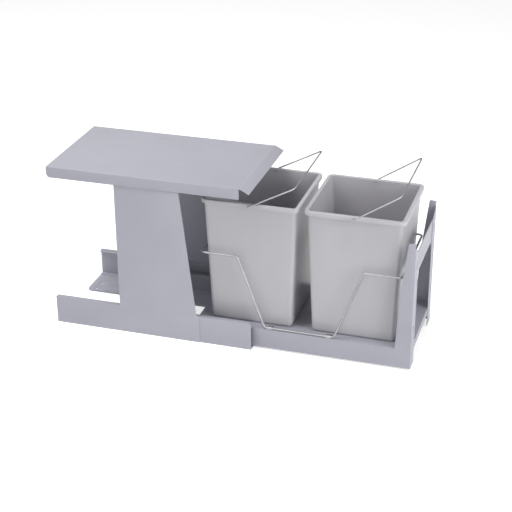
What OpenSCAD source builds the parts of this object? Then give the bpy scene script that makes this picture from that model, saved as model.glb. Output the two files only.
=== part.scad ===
// Pull-out waste cabinet unit for a 300 mm base cabinet. A bent sheet cover stands on two side plates that screw
// to the cabinet floor, and a tray with two tapered bins runs out between them on ball slides.
// The front faces -Y, +Z is up, and the origin is at the middle of the base, on the floor. The tray is drawn run out.

/* [Base] */
// Outside width of the cover, which sets the width of the whole unit
unit_w = 256; // [240:1:320]
// Length of the base along the cabinet's depth
base_l = 450; // [440:1:520]
// Thickness of the side plates
plate_t = 1.5; // [1:0.1:2]
// Height of the low strip of each side plate
strip_h = 64; // [60:1:80]
// How far a side plate's outer face stands inside the cover's lip
lip_gap = 0.8; // [0.4:0.1:1.5]
// Distance of the upright's back edge from the back of the base
upright_setback = 152; // [100:1:170]
// Width of the upright at its top
upright_top_w = 141; // [110:1:150]
// How far the upright's front edge runs forward on its way down
upright_lean = 35; // [20:1:40]
// Length of the strip in front of the upright
strip_toe = 6; // [4:1:20]
// Width of the foot that each side plate turns in along the floor
foot_w = 96; // [94:1:100]
// Height of the stiffening edge along the foot
foot_edge_h = 5; // [3:0.5:6]
// Corner radius at the back of the foot
foot_corner_r = 14; // [8:1:18]
// Width of the tab that carries the cover
tab_w = 20; // [16:1:28]

/* [Floor screws] */
// Radius of the floor screw holes
floor_hole_r = 2.5; // [2:0.25:3]
// Distance of the screw holes from the back and the front of the base
floor_hole_inset = 20; // [14:1:40]
// Distance of the outer screw holes from the side plate's outer face
floor_outer_in = 54; // [50:1:60]
// Distance of the inner screw holes from the side plate's outer face
floor_inner_in = 83; // [76:1:88]

/* [Side channels] */
// Sheet thickness of the side channels
channel_t = 1.2; // [1:0.1:1.5]
// How far the channels' top lies below the top of the strip
channel_step = 2; // [0:0.5:4]
// Distance from the channel's web to the tray's side
tray_gap = 10; // [8:0.5:12]
// Distance from the channel's ledges to the tray's side
ledge_gap = 1; // [0.5:0.25:3]
// Corner radius at the channel's front top
channel_corner_r = 5; // [3:1:10]

/* [Cover] */
// Height of the cover's top face above the bins' rims
cover_gap = 42; // [42:1:70]
// Sheet thickness of the cover
cover_t = 1.2; // [1:0.1:1.5]
// Distance from the front lip's edge back to the front of the base
cover_front_in = 1; // [0:0.5:6]
// Depth of the cover's side lips
side_lip_h = 24; // [20:1:26]
// Radius of the lips' lower corner at the back
lip_corner_r = 8; // [4:1:12]
// Distance from the side lips' front end to the crease
lip_relief = 3; // [2:0.5:6]
// How far the front lip reaches forward of the crease
front_lip_out = 19; // [15:1:22]
// How far the front lip drops below the top face
front_lip_drop = 11; // [9:0.5:12]

/* [Ball slides] */
// Distance from the slides' front end to the front of the base
slide_end_gap = 5; // [2:1:15]
// Distance from the slides' back end to the back of the base
slide_back_gap = 60; // [52:1:66]
// Height of a slide's outer member
slide_h = 35; // [33:0.5:36]
// Thickness of a slide, from its stand to the tray's side
slide_t = 10; // [9.5:0.1:12]
// Sheet thickness of the slide members
member_t = 1.2; // [1:0.1:1.3]
// Sheet thickness of the slides' stands
stand_t = 1.5; // [1:0.1:2]
// Width of the stands' foot
stand_foot_w = 14; // [8:1:14]
// Radius of the balls
ball_r = 1.8; // [1.6:0.1:2]
// Clearance between a ball and its tracks and cage
ball_gap = 0.05; // [0.02:0.01:0.1]
// Distance between two balls of a row
ball_pitch = 8; // [6:0.5:9]
// Number of balls in a row
ball_count = 7; // [4:1:8]
// Sheet thickness of the ball cage
cage_t = 0.6; // [0.4:0.1:0.8]
// Clearance between the inner member's web and the outer member's lips
member_gap = 0.3; // [0.2:0.05:0.5]
// Distance from the cage's web to the outer member's back
cage_gap = 0.4; // [0.3:0.1:0.6]

/* [Tray] */
// How far the tray runs out
travel = 320; // [280:1:330]
// How far the tray's front stands before the base when it is closed
door_reach = 22; // [20:1:40]
// Distance from the closed tray's back to the back of the base
tray_back_gap = 2; // [1:1:10]
// Height of the tray's top face above the floor
tray_top = 48; // [46:0.5:52]
// Height of the skirts' lower edge above the floor
skirt_bottom = 4.5; // [4:0.5:6]
// Sheet thickness of the tray
tray_t = 1.2; // [1:0.1:1.5]
// Depth of the tray's front and back lips
tray_lip_h = 16; // [12:1:18]
// Distance from the tray's back lip to the slides' stands
back_lip_gap = 2; // [1:0.5:6]

/* [Front brackets] */
// Height of the brackets' top above the floor
bracket_top = 291; // [280:1:310]
// Depth of a bracket at its top
bracket_top_d = 15; // [12:1:20]
// Depth of a bracket at its bend
bracket_mid_d = 27; // [20:1:28]
// Height of the bracket's bend above the floor
bracket_mid_h = 188; // [150:1:220]
// Depth of a bracket at the tray
bracket_foot_d = 34; // [30:1:34]
// Width of the bracket's door flange
flange_w = 34; // [30:1:44]
// How far the flange's top lies below the bracket's top
flange_drop = 10; // [6:1:16]
// Length of the door screw slots
slot_l = 16; // [10:1:20]
// Radius of the door screw slots' ends
slot_r = 2.75; // [2.25:0.25:3]
// Height of the upper door slots above the floor
slot_top_z = 238; // [230:1:245]
// Height of the lower door slots above the floor
slot_low_z = 90; // [70:1:120]

/* [Crossbar] */
// Height of the crossbar's lower edge above the floor
bar_z = 212; // [200:1:216]
// Height of the crossbar
bar_h = 50; // [46:1:54]
// Radius of the curved corners under the crossbar
bar_corner_r = 14; // [8:1:20]

/* [Bins] */
// Distance from the bins' rims to the guard wire
bin_side_gap = 0.85; // [0.5:0.05:3]
// Height of a bin
bin_h = 282; // [265:1:290]
// How far the rim stands out from the bin's wall
rim_out = 6; // [5:0.5:8]
// Height of the rim's turned-down edge
rim_h = 9; // [8:1:14]
// Thickness of the rim
rim_t = 1.6; // [1.2:0.2:2]
// How far each wall leans in from the rim to the floor of the bin
bin_taper = 10; // [6:1:14]
// Wall thickness of the bins
bin_wall = 2; // [1.6:0.1:2.6]
// Corner radius of a bin's wall
bin_corner_r = 8; // [7:0.5:12]
// Height of the step that a bin stands on
bin_step_h = 4; // [2:0.5:5]
// How far the step lies inside the bin's wall
bin_step_in = 4; // [3:0.5:5]
// Distance from the front bin's rim to the door flange
bin_front_gap = 25; // [22:1:26]
// Distance between the two bins' rims
bin_gap = 12; // [10:1:14]
// Distance from the rear bin's rim to the tray's back
bin_back_gap = 13; // [8:1:20]

/* [Bails] */
// Radius of the bails' wire
bail_r = 1.5; // [1.25:0.25:1.75]
// How far a level bail's crossbar lies outside the bin's rim
bail_reach = 8; // [6:0.5:9]
// Depth of the pivots below the top of the rim
pivot_drop = 4.5; // [4:0.5:6]
// Running clearance of the wire in the bin's wall and rim
pivot_gap = 0.08; // [0.03:0.01:0.1]
// Distance from the rim's side to the bail's arm beside it
arm_gap = 3.5; // [2:0.1:3.6]
// How far each pivot's end shows inside the bin's wall
pin_show = 1.5; // [0.5:0.25:3]
// Radius of the bend at each pivot
pivot_bend_r = 2; // [2:0.25:3]
// Radius of the bend at each end of the crossbar
bail_bend_r = 10; // [6:1:16]
// How high the rear bail stands above level, in degrees
rear_bail_angle = 28; // [8:0.5:30]
// How high the front bail stands above level, in degrees
front_bail_angle = 33; // [8:0.5:60]

/* [Guard wire] */
// Radius of the guard wire
guard_r = 2.25; // [2:0.25:2.5]
// Distance of the guard wire from the bracket's inner face
guard_side_gap = 4; // [3:0.5:4.5]
// Height of the guard wire's high runs above the floor
guard_z = 210; // [190:1:214]
// Distance from the rear bin's rim in to the guard wire's back run
guard_back_in = 3; // [2:0.5:5]
// Distance from the tray's front to the guard wire's front run
guard_front_in = 26; // [16:1:28]
// Length of the guard wire's high run beside the rear bin
guard_back_run = 78; // [70:1:90]
// Length of the guard wire's high run beside the front bin
guard_front_run = 80; // [70:1:90]
// Length of tray that each slanted run passes over
guard_slant = 59; // [45:1:65]
// Radius of the guard wire's bends
guard_bend_r = 8; // [6:1:12]

/* [Clips] */
// Sheet thickness of the wire clips
clip_t = 1.2; // [1:0.1:1.5]
// Length of a clip along the wire
clip_l = 11; // [8:1:14]
// How far a clip's tab reaches from the wire
clip_tab = 14; // [12:0.5:15]
// Distance from a clip's middle to the end of the wire's low run
clip_inset = 11.5; // [11:0.5:24]
// Radius of the clip screws' shank
clip_screw_r = 1.5; // [1.25:0.25:1.75]
// Clearance around a fastener's shank
shank_gap = 0.1; // [0.05:0.05:0.2]

/* [Cover studs] */
// Radius of the studs under the cover
stud_r = 2.5; // [2:0.25:3]
// Length of the studs
stud_l = 9; // [8:0.5:12]
// Distance from the upright's edges to the studs
stud_inset = 35; // [25:1:40]
// Width of the nuts across their flats
nut_af = 8; // [7:0.5:10]
// Thickness of the nuts
nut_t = 4; // [3:0.5:5]

/* [Slide rivets] */
// Radius of the slide rivets' shank
rivet_r = 2; // [1.5:0.25:2.25]
// Radius of the slide rivets' flush head
rivet_head_r = 3.4; // [3:0.2:4]
// Places of the rivets along a slide, as shares of its length
rivet_shares = [0.06, 0.38, 0.7];

/* [Hidden] */

over = 1; // overrun of every cut
round_fn = 48;
soft_fn = 32;
tube_sides = 16;
tube_arc_steps = 6;

steel = [0.67, 0.68, 0.72];
zinc = [0.75, 0.76, 0.78];
plastic = [0.73, 0.73, 0.74];

// Places across the unit, measured from its middle
plate_x = unit_w / 2 - cover_t - lip_gap;
floor_outer_x = plate_x - floor_outer_in;
floor_inner_x = plate_x - floor_inner_in;
channel_x = plate_x - plate_t;
web_x = channel_x - channel_t;
skirt_x = web_x - tray_gap;
skirt_in_x = skirt_x - tray_t;
stand_x = skirt_in_x - slide_t;
guard_x = skirt_in_x - guard_side_gap;
rim_w = 2 * (guard_x - guard_r - bin_side_gap);

// Places along the unit
base_back = base_l / 2;
base_front = -base_l / 2;
upright_back = base_back - upright_setback;
upright_front = upright_back - upright_top_w;
strip_front = upright_front - upright_lean - strip_toe;
crease_y = base_front + cover_front_in + front_lip_out;
tray_l = base_l + door_reach - tray_back_gap;
tray_front = base_front - door_reach - travel;
tray_back = tray_front + tray_l;
rim_l = (tray_l - bin_front_gap - bin_gap - bin_back_gap) / 2;
front_bin_y = tray_front + bin_front_gap + rim_l / 2;
rear_bin_y = front_bin_y + rim_l + bin_gap;
slide_l = base_l - slide_end_gap - slide_back_gap;
outer_front = base_front + slide_end_gap;
inner_front = outer_front - travel;

// Heights
rim_top = tray_top + bin_h;
cover_h = rim_top + cover_gap;
cover_under = cover_h - cover_t;
channel_top = strip_h - channel_step;
pivot_z = rim_top - pivot_drop;
slide_z = (plate_t + tray_top - tray_t) / 2;

// Places inside a slide, up or down from its middle and across from its stand
track_z = slide_h / 2 - member_t;
inner_half = track_z - 2 * (ball_r + ball_gap);
ball_z = track_z - ball_r - ball_gap;
lip_low = ball_z + cage_t / 2 + member_gap;
inner_web = slide_t - member_t;
outer_reach = inner_web - member_gap;
cage_web = member_t + cage_gap;
inner_reach = cage_web + cage_t + cage_gap;
ball_across = (inner_reach + outer_reach - member_t) / 2;
cage_l = ball_pitch * ball_count;
overlap_l = slide_l - travel;
cage_back = inner_front + slide_l - (overlap_l - cage_l) / 2;

// Half the size of a bin's wall under a rim of a given size, at a height above the tray
function wall_half(rim, z) = rim / 2 - rim_out - bin_taper * (bin_h - z) / bin_h;
pivot_wall = wall_half(rim_w, bin_h - pivot_drop);
arm_x = rim_w / 2 + arm_gap + bail_r;
bail_l = rim_l / 2 + bail_reach;

// The guard wire's path on one side, as places from the front and heights
guard_low_z = tray_top + guard_r + shank_gap;
guard_front_y = tray_front + guard_front_in;
guard_back_y = rear_bin_y + rim_l / 2 - guard_back_in;
guard_low_front = guard_front_y + guard_front_run + guard_slant;
guard_low_back = guard_back_y - guard_back_run - guard_slant;

// Draws its children as the left (-1) or the right (1) half of the unit; they are written for the right one
module on_side(side) {
    mirror([side < 0 ? 1 : 0, 0, 0]) children();
}

// Draws its children on both sides
module both_sides() {
    for (side = [-1, 1]) on_side(side) children();
}

// A sheet standing along Y, drawn from an outline of [y, z], between two places across the unit
module standing_sheet(outline, x_in, x_out) {
    translate([x_in, 0, 0]) rotate([90, 0, 90]) linear_extrude(x_out - x_in) polygon(outline);
}

// A box from its two corners
module block(low, high) {
    translate(low) cube(high - low);
}

// A rectangle of given half sizes with round corners, standing on z = 0
module rounded_slab(half, corner, height, sides = round_fn) {
    flat = half - [corner, corner];
    translate([-half[0], -flat[1], 0]) cube([2 * half[0], 2 * flat[1], height]);
    translate([-flat[0], -half[1], 0]) cube([2 * flat[0], 2 * half[1], height]);
    for (sx = [-1, 1], sy = [-1, 1])
        translate([sx * flat[0], sy * flat[1], 0]) cylinder(r = corner, h = height, $fn = sides);
}

// The side plate is one bent sheet: a long strip, an upright with a tab at its top, and a foot along the floor
module side_plate() {
    plate_in = plate_x - plate_t;
    foot_in = plate_x - foot_w;
    strip_outline = [[base_back, 0], [base_back, strip_h], [strip_front, strip_h], [strip_front, 0]];
    upright_outline = [[upright_back, 0], [upright_back, cover_under], [upright_front, cover_under],
        [upright_front - upright_lean, strip_h], [upright_front - upright_lean, 0]];
    color(steel) difference() {
        union() {
            standing_sheet(strip_outline, plate_in, plate_x);
            standing_sheet(upright_outline, plate_in, plate_x);
            block([plate_x - tab_w, upright_front, cover_under - plate_t], [plate_x, upright_back, cover_under]);
            block([foot_in, base_front, 0], [plate_in, base_back, plate_t]);
            block([plate_in, strip_front, 0], [plate_x, base_back, plate_t]);
            block([foot_in, base_front, 0], [foot_in + plate_t, base_back, foot_edge_h]);
        }
        for (x = [floor_outer_x, floor_inner_x], y = [base_back - floor_hole_inset, base_front + floor_hole_inset])
            translate([x, y, -over]) cylinder(r = floor_hole_r, h = plate_t + 2 * over, $fn = round_fn);
        for (y = [upright_back - stud_inset, upright_front + stud_inset])
            translate([stud_x(), y, cover_under - plate_t - over])
                cylinder(r = stud_r + shank_gap, h = plate_t + 2 * over, $fn = round_fn);
        foot_corner(foot_in);
    }
}

// Rounds the back inner corner of the foot
module foot_corner(foot_in) {
    translate([foot_in + foot_corner_r, base_back - foot_corner_r, -over]) difference() {
        translate([-foot_corner_r - over, 0, 0])
            cube([foot_corner_r + over, foot_corner_r + over, foot_edge_h + 2 * over]);
        translate([0, 0, -over]) cylinder(r = foot_corner_r, h = foot_edge_h + 4 * over, $fn = round_fn);
    }
}

function stud_x() = plate_x - plate_t - (tab_w - plate_t) / 2;

// The side channel is open towards the tray and guards its side; its front stands out past the side plate
module side_channel() {
    corner = channel_corner_r;
    ledge_x = skirt_x + ledge_gap;
    color(steel) difference() {
        union() {
            block([web_x, base_front, plate_t], [channel_x, base_back, channel_top]);
            block([ledge_x, base_front, channel_top - channel_t], [channel_x, base_back, channel_top]);
            block([ledge_x, base_front, plate_t], [channel_x, base_back, plate_t + channel_t]);
        }
        translate([ledge_x - over, base_front + corner, channel_top - corner]) difference() {
            translate([0, -corner - over, 0])
                cube([channel_x - ledge_x + 2 * over, corner + over, corner + over]);
            rotate([0, 90, 0]) translate([0, 0, -over])
                cylinder(r = corner, h = channel_x - ledge_x + 4 * over, $fn = round_fn);
        }
    }
}

// Puts its children at the rivets of a slide's outer member
module rivet_places() {
    for (share = rivet_shares) translate([stand_x + member_t, outer_front + slide_l * (1 - share), slide_z])
        rotate([0, -90, 0]) children();
}

// The slide's stand is an angle that rises from the foot inside the tray's skirt
module slide_stand() {
    back = outer_front + slide_l;
    color(steel) difference() {
        union() {
            block([stand_x - stand_t, outer_front, plate_t], [stand_x, back, slide_z + slide_h / 2]);
            block([stand_x - stand_t - stand_foot_w, outer_front, plate_t], [stand_x, back, plate_t + stand_t]);
        }
        rivet_places() translate([0, 0, -over])
            cylinder(r = rivet_r + shank_gap, h = member_t + stand_t + 2 * over, $fn = round_fn);
    }
}

// The outer slide member: a C of bent steel with its back on the stand
module slide_outer() {
    back = outer_front + slide_l;
    reach_x = stand_x + outer_reach;
    color(zinc) difference() {
        union() {
            block([stand_x, outer_front, slide_z - slide_h / 2], [stand_x + member_t, back, slide_z + slide_h / 2]);
            for (up = [0, 1]) translate([0, 0, slide_z]) mirror([0, 0, up]) {
                block([stand_x, outer_front, track_z], [reach_x, back, slide_h / 2]);
                block([reach_x - member_t, outer_front, lip_low], [reach_x, back, slide_h / 2]);
            }
        }
        rivet_places() translate([0, 0, -over])
            cylinder(r = rivet_r + shank_gap, h = member_t + 2 * over, $fn = round_fn);
        rivet_places() cylinder(r1 = rivet_head_r, r2 = rivet_r + shank_gap, h = member_t, $fn = round_fn);
    }
}

// Flush rivets, with their heads inside the outer member
module slide_rivets() {
    color(zinc) both_sides() rivet_places() {
        cylinder(r1 = rivet_head_r - shank_gap, r2 = rivet_r, h = member_t, $fn = round_fn);
        cylinder(r = rivet_r, h = member_t + stand_t, $fn = round_fn);
    }
}

// The inner slide member: a smaller C with its web welded to the inside of the tray's skirt
module slide_inner() {
    back = inner_front + slide_l;
    color(zinc) {
        block([stand_x + inner_web, inner_front, slide_z - inner_half], [skirt_in_x, back, slide_z + inner_half]);
        for (up = [0, 1]) translate([0, 0, slide_z]) mirror([0, 0, up])
            block([stand_x + inner_reach, inner_front, inner_half - member_t], [skirt_in_x, back, inner_half]);
    }
}

// Puts its children at each ball of one slide
module ball_places() {
    for (up = [-1, 1], n = [0 : ball_count - 1])
        translate([stand_x + ball_across, cage_back - ball_pitch * (n + 1 / 2), slide_z + up * ball_z]) children();
}

// The ball cage: a thin bent strip with a round window for each ball
module ball_cage() {
    web = stand_x + cage_web;
    arm_end = stand_x + ball_across + ball_r + cage_t;
    color(zinc) difference() {
        union() {
            block([web, cage_back - cage_l, slide_z - ball_z - cage_t / 2],
                [web + cage_t, cage_back, slide_z + ball_z + cage_t / 2]);
            for (up = [-1, 1]) translate([0, 0, slide_z + up * ball_z])
                block([web, cage_back - cage_l, -cage_t / 2], [arm_end, cage_back, cage_t / 2]);
        }
        ball_places() translate([0, 0, -cage_t])
            cylinder(r = ball_r + ball_gap, h = 2 * cage_t, $fn = round_fn);
    }
}

module balls() {
    color(zinc) ball_places() sphere(r = ball_r, $fn = round_fn);
}

// The cover is one bent sheet: a flat top, a lip down each side and a sloped lip at the front
module cover() {
    half = unit_w / 2;
    tip_y = crease_y - front_lip_out;
    tip_z = cover_h - front_lip_drop;
    lip_len = norm([front_lip_out, front_lip_drop]);
    skew = [front_lip_drop, -front_lip_out] * cover_t / lip_len;
    side_outline = [[base_back, cover_h - side_lip_h + lip_corner_r], [base_back, cover_h],
        [crease_y + lip_relief, cover_h], [crease_y + lip_relief, cover_h - side_lip_h],
        [base_back - lip_corner_r, cover_h - side_lip_h]];
    front_outline = [[crease_y, cover_h], [tip_y, tip_z + cover_t * front_lip_out / lip_len],
        [tip_y + skew[0], tip_z], [crease_y + skew[0], cover_under], [crease_y + cover_t, cover_under],
        [crease_y + cover_t, cover_h]];
    color(steel) {
        block([-half, crease_y, cover_under], [half, base_back, cover_h]);
        standing_sheet(front_outline, -half, half);
        both_sides() {
            standing_sheet(side_outline, half - cover_t, half);
            translate([half - cover_t, base_back - lip_corner_r, cover_h - side_lip_h + lip_corner_r])
                rotate([0, 90, 0]) cylinder(r = lip_corner_r, h = cover_t, $fn = round_fn);
        }
    }
}

// Puts its children at the four studs, under the cover
module stud_places() {
    both_sides() for (y = [upright_back - stud_inset, upright_front + stud_inset])
        translate([stud_x(), y, cover_under]) children();
}

module cover_studs() {
    color(zinc) stud_places() translate([0, 0, -stud_l]) cylinder(r = stud_r, h = stud_l, $fn = round_fn);
}

module cover_nuts() {
    color(zinc) stud_places() translate([0, 0, -plate_t - nut_t]) difference() {
        cylinder(d = nut_af / cos(30), h = nut_t, $fn = 6);
        translate([0, 0, -over]) cylinder(r = stud_r + shank_gap / 2, h = nut_t + 2 * over, $fn = round_fn);
    }
}

// The tray's top sheet, with a lip turned down at the front and the back
module tray_plate() {
    under = tray_top - tray_t;
    lip_front = tray_front + tray_t;
    back_lip_x = stand_x - stand_t - back_lip_gap;
    color(steel) difference() {
        union() {
            block([-skirt_in_x, lip_front, under], [skirt_in_x, tray_back, tray_top]);
            block([-skirt_in_x, lip_front, tray_top - tray_lip_h], [skirt_in_x, lip_front + tray_t, tray_top]);
            block([-back_lip_x, tray_back - tray_t, tray_top - tray_lip_h], [back_lip_x, tray_back, tray_top]);
        }
        clip_places() translate([-clip_screw_in(), 0, -over - tray_t])
            cylinder(r = clip_screw_r + shank_gap, h = tray_t + 2 * over, $fn = round_fn);
    }
}

// The tray's side is one bent sheet: the skirt that the slide carries, the bracket and its door flange
module tray_side() {
    side_outline = [[tray_back, skirt_bottom], [tray_back, tray_top], [tray_front + bracket_foot_d, tray_top],
        [tray_front + bracket_mid_d, bracket_mid_h], [tray_front + bracket_top_d, bracket_top],
        [tray_front, bracket_top], [tray_front, skirt_bottom]];
    color(steel) difference() {
        union() {
            standing_sheet(side_outline, skirt_in_x, skirt_x);
            door_flange();
        }
        door_slots();
    }
}

function slot_x() = skirt_x - flange_w / 2;

// The flange that the cabinet's door screws to, with its sloped top that runs down to the crossbar
module door_flange() {
    inner = skirt_x - flange_w;
    flange_outline = [[skirt_x, skirt_bottom], [skirt_x, bracket_top - flange_drop], [inner, bar_z + bar_h],
        [inner, skirt_bottom]];
    translate([0, tray_front + tray_t, 0]) rotate([90, 0, 0]) linear_extrude(tray_t) polygon(flange_outline);
}

// Upright slots through the flange, and through the crossbar where it lies behind
module door_slots() {
    reach = slot_l / 2 - slot_r;
    depth = 2 * tray_t + 2 * over;
    for (z = [slot_top_z, slot_low_z]) translate([slot_x(), tray_front - over, z]) {
        translate([-slot_r, 0, -reach]) cube([2 * slot_r, depth, 2 * reach]);
        for (end = [-reach, reach]) translate([0, 0, end]) rotate([-90, 0, 0])
            cylinder(r = slot_r, h = depth, $fn = round_fn);
    }
}

// The crossbar ties the two brackets behind their flanges, with curved corners below
module front_crossbar() {
    end_x = skirt_in_x;
    low_x = skirt_x - flange_w;
    foot = bar_z - bar_corner_r;
    color(steel) difference() {
        translate([0, tray_front + 2 * tray_t, 0]) rotate([90, 0, 0]) linear_extrude(tray_t) difference() {
            union() {
                translate([-end_x, bar_z]) square([2 * end_x, bar_h]);
                for (side = [-1, 1]) translate([side * (end_x + low_x - bar_corner_r) / 2, foot + bar_corner_r / 2])
                    square([end_x - low_x + bar_corner_r, bar_corner_r], center = true);
            }
            for (side = [-1, 1]) translate([side * (low_x - bar_corner_r), foot])
                circle(r = bar_corner_r, $fn = round_fn);
        }
        both_sides() door_slots();
    }
}

// A bin: a tapered tub with round corners on a low step, and a rim turned out and down
module bin_at(y) {
    rim_half = [rim_w, rim_l] / 2;
    rim_corner = bin_corner_r + rim_out;
    inset = [rim_t, rim_t];
    color(plastic) translate([0, y, tray_top]) difference() {
        union() {
            hull() {
                translate([0, 0, bin_step_h]) bin_slab(bin_step_h, 0, rim_t);
                translate([0, 0, bin_h - rim_t]) bin_slab(bin_h, 0, rim_t);
            }
            bin_slab(0, bin_step_in, bin_step_h + bin_wall);
            difference() {
                translate([0, 0, bin_h - rim_h]) rounded_slab(rim_half, rim_corner, rim_h);
                translate([0, 0, bin_h - rim_h - over])
                    rounded_slab(rim_half - inset, rim_corner - rim_t, rim_h - rim_t + over);
            }
        }
        hull() {
            translate([0, 0, bin_step_h + bin_wall]) bin_slab(bin_step_h + bin_wall, bin_wall, rim_t);
            translate([0, 0, bin_h]) bin_slab(bin_h, bin_wall, over);
        }
        translate([0, 0, bin_wall]) bin_slab(bin_wall, bin_step_in + bin_wall, bin_step_h + over);
        both_sides() translate([pivot_wall - bin_wall - over, 0, bin_h - pivot_drop]) rotate([0, 90, 0])
            cylinder(r = bail_r + pivot_gap, h = rim_w / 2 - pivot_wall + bin_wall + 2 * over, $fn = round_fn);
    }
}

// A slice of the tub at a height, drawn in by an inset
module bin_slab(z, inset, thick) {
    rounded_slab([wall_half(rim_w, z) - inset, wall_half(rim_l, z) - inset], bin_corner_r - inset, thick, soft_fn);
}

// A quarter bend of wire that turns from along Z at the origin towards +X
module wire_bend(bend, wire) {
    translate([bend, 0, 0]) rotate([90, 0, 0]) rotate([0, 0, 90]) rotate_extrude(angle = 90, $fn = round_fn)
        translate([bend, 0]) circle(r = wire, $fn = round_fn);
}

// A bail: a bent wire round the outside of the rim, whose ends turn in through the rim and the bin's wall.
// It is drawn lying level and turned up by its angle
module bail_at(y, angle) {
    pin_end = pivot_wall - bin_wall - pin_show;
    arm_end = bail_l - bail_bend_r;
    color(zinc) translate([0, y, pivot_z]) rotate([-angle, 0, 0]) both_sides() {
        translate([pin_end, 0, 0]) rotate([0, 90, 0])
            cylinder(r = bail_r, h = arm_x - pivot_bend_r - pin_end, $fn = round_fn);
        translate([arm_x, -pivot_bend_r, 0]) rotate([-90, 0, 0]) mirror([1, 0, 0])
            wire_bend(pivot_bend_r, bail_r);
        translate([arm_x, -pivot_bend_r, 0]) rotate([90, 0, 0])
            cylinder(r = bail_r, h = arm_end - pivot_bend_r, $fn = round_fn);
        translate([arm_x, -arm_end, 0]) rotate([90, 0, 0]) mirror([1, 0, 0]) wire_bend(bail_bend_r, bail_r);
        translate([0, -bail_l, 0]) rotate([0, 90, 0])
            cylinder(r = bail_r, h = arm_x - bail_bend_r, $fn = round_fn);
    }
}

// The guard wire's corners, all the way round the bins
function guard_corners() = let (side = [
        [guard_front_y, guard_z], [guard_front_y + guard_front_run, guard_z], [guard_low_front, guard_low_z],
        [guard_low_back, guard_low_z], [guard_back_y - guard_back_run, guard_z], [guard_back_y, guard_z]])
    concat([for (p = side) [guard_x, p[0], p[1]]], [for (n = [5 : -1 : 0]) [-guard_x, side[n][0], side[n][1]]]);

// Points of a rounded corner at b, on the way from a to c
function corner_arc(a, b, c, r) = let (
        to_a = (a - b) / norm(a - b), to_c = (c - b) / norm(c - b),
        half = acos(to_a * to_c) / 2, middle = (to_a + to_c) / norm(to_a + to_c),
        centre = b + middle * r / sin(half), cut = r / tan(half),
        from = b + to_a * cut - centre, to = b + to_c * cut - centre, sweep = 180 - 2 * half)
    [for (n = [0 : tube_arc_steps]) let (s = n / tube_arc_steps)
        centre + (from * sin((1 - s) * sweep) + to * sin(s * sweep)) / sin(sweep)];

function closed_path(corners, r) = [for (n = [0 : len(corners) - 1])
    each corner_arc(corners[(n + len(corners) - 1) % len(corners)], corners[n], corners[(n + 1) % len(corners)], r)];

// One ring of a tube whose path never runs straight up
function tube_ring(path, n, r) = let (
        count = len(path), ahead = path[(n + 1) % count] - path[(n + count - 1) % count],
        along = ahead / norm(ahead), out = cross(along, [0, 0, 1]), first = out / norm(out),
        second = cross(along, first))
    [for (k = [0 : tube_sides - 1]) let (turn = 360 * k / tube_sides)
        path[n] + r * (first * cos(turn) + second * sin(turn))];

module closed_tube(corners, bend, r) {
    path = closed_path(corners, bend);
    count = len(path);
    points = [for (n = [0 : count - 1]) each tube_ring(path, n, r)];
    faces = [for (n = [0 : count - 1], k = [0 : tube_sides - 1]) each let (
            a = n * tube_sides + k, b = n * tube_sides + (k + 1) % tube_sides,
            c = ((n + 1) % count) * tube_sides + (k + 1) % tube_sides, d = ((n + 1) % count) * tube_sides + k)
        [[a, c, b], [a, d, c]]];
    polyhedron(points, faces, convexity = 6);
}

module guard_wire() {
    color(zinc) closed_tube(guard_corners(), guard_bend_r, guard_r);
}

function clip_screw_in() = guard_r + clip_t + (clip_tab - guard_r - clip_t) / 2;

// Puts its children at the four clips, at the tray's top under the wire's middle
module clip_places() {
    both_sides() for (y = [guard_low_front + clip_inset, guard_low_back - clip_inset])
        translate([guard_x, y, tray_top]) children();
}

// A clip: a bent strap over the wire, with a flat tab screwed to the tray
module wire_clips() {
    shell_r = guard_r + shank_gap + clip_t;
    wire_z = guard_low_z - tray_top;
    color(zinc) clip_places() difference() {
        union() {
            intersection() {
                union() {
                    translate([0, 0, wire_z]) rotate([90, 0, 0])
                        cylinder(r = shell_r, h = clip_l, center = true, $fn = round_fn);
                    translate([-shell_r, -clip_l / 2, 0]) cube([2 * shell_r, clip_l, wire_z]);
                }
                translate([-shell_r, -clip_l / 2, 0]) cube([2 * shell_r, clip_l, 2 * shell_r]);
            }
            translate([-clip_tab, -clip_l / 2, 0]) cube([clip_tab, clip_l, clip_t]);
        }
        translate([0, 0, wire_z]) rotate([90, 0, 0])
            cylinder(r = guard_r + shank_gap, h = clip_l + 2 * over, center = true, $fn = round_fn);
        translate([-guard_r - shank_gap, -clip_l / 2 - over, -over])
            cube([2 * (guard_r + shank_gap), clip_l + 2 * over, wire_z + over]);
        translate([-clip_screw_in(), 0, -over])
            cylinder(r = clip_screw_r + shank_gap, h = clip_t + 2 * over, $fn = round_fn);
    }
}

module clip_screws() {
    head_r = 2 * clip_screw_r;
    color(zinc) clip_places() translate([-clip_screw_in(), 0, 0]) {
        translate([0, 0, -2 * tray_t]) cylinder(r = clip_screw_r, h = 2 * tray_t + clip_t, $fn = round_fn);
        translate([0, 0, clip_t]) cylinder(r = head_r, h = clip_screw_r, $fn = round_fn);
    }
}

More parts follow.
